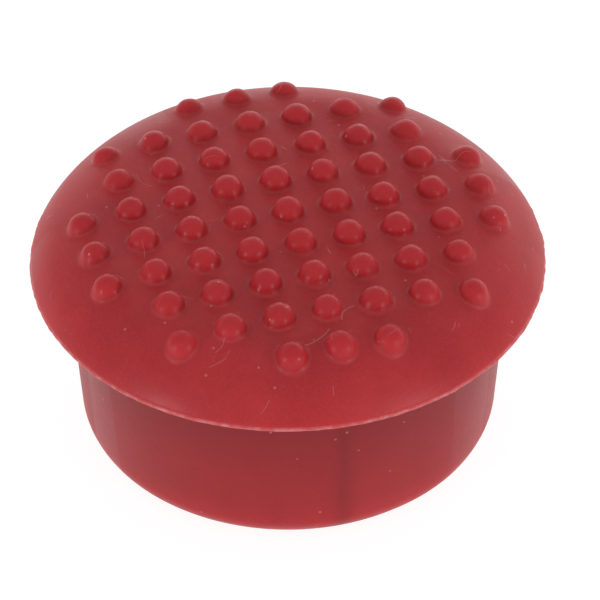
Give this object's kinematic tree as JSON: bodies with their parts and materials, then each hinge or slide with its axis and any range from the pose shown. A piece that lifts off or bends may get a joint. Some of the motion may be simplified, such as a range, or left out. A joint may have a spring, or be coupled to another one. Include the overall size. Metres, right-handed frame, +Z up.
{
  "type": "pointing stick cap",
  "caption": "Low domed rubber fingertip cap with a square grid of grip nubs, a thin overhanging rim and a tapered collar, moulded over a hard insert with a square push-on socket.",
  "frame": {"origin": "centre of the collar's foot, on the plane that the cap stands on", "axes": "+Z up along the axis of the cap and out through the crown; X and Y along the rows of nubs and square to the socket's walls"},
  "size_m": [0.0084, 0.0084, 0.0044],
  "materials": {
    "skin_rubber": "soft matte red rubber, faintly dusty",
    "insert_plastic": "satin dark red moulded plastic"
  },
  "bodies": {
    "root": {"grip_skin": "skin_rubber", "socket_insert": "insert_plastic"}
  },
  "joints": []
}
